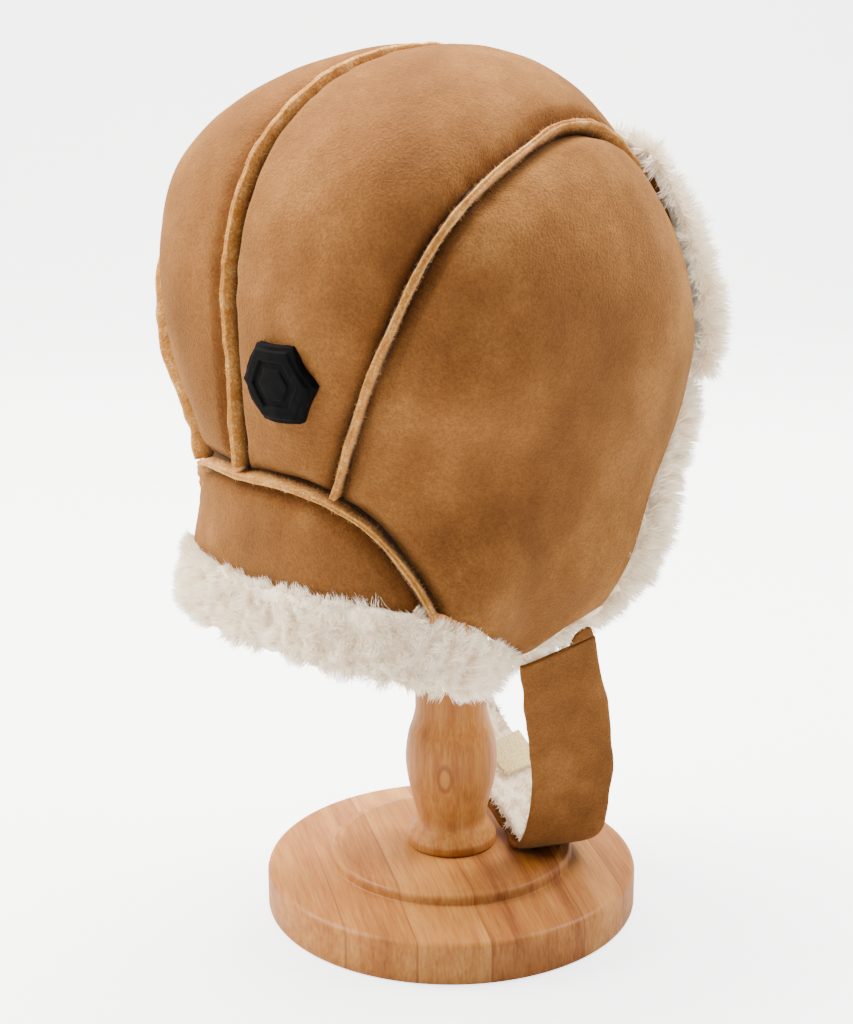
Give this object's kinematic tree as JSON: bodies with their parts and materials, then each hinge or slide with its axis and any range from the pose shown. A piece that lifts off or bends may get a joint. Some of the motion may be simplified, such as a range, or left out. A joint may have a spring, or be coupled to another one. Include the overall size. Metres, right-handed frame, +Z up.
{
  "type": "earflap cap on a wooden stand",
  "caption": "Sewn suede and fleece earflap cap with a turned-up forehead flap and a looped chin strap, on a turned wooden stand with a round foot.",
  "frame": {"origin": "centre of the stand's underside, where it rests on a table", "axes": "+Z up, the face opening looks along -Y, the wearer's right is -X"},
  "size_m": [0.1914, 0.2083, 0.3403],
  "materials": {
    "wood": "clear satin lacquer on laminated light hardwood",
    "suede": "brushed suede with a soft nap",
    "welt": "raw cut edges of sheepskin, light tan with short fleece",
    "fleece": "dense shorn sheepskin fleece, cream white",
    "closure": "beige loop pile of a hook-and-loop closure",
    "badge": "matt black moulded rubber"
  },
  "bodies": {
    "root": {"stand_base": "wood", "stand_post": "wood", "stand_head": "wood", "crown_panel_right": "suede", "crown_panel_left": "suede", "side_panel_right": "suede", "side_panel_left": "suede", "nape_panel": "suede", "front_brim": "suede", "chin_strap": "suede", "strap_tab": "suede", "nape_seam_welt": "welt", "center_seam_welt": "welt", "right_seam_welt": "welt", "left_seam_welt": "welt", "crown_fleece_right": "fleece", "crown_fleece_left": "fleece", "side_fleece_right": "fleece", "side_fleece_left": "fleece", "nape_fleece": "fleece", "nape_fur_trim": "fleece", "right_edge_fur": "fleece", "left_edge_fur": "fleece", "brim_fur": "fleece", "strap_fleece": "fleece", "closure_patch": "closure", "badge": "badge"}
  },
  "joints": []
}
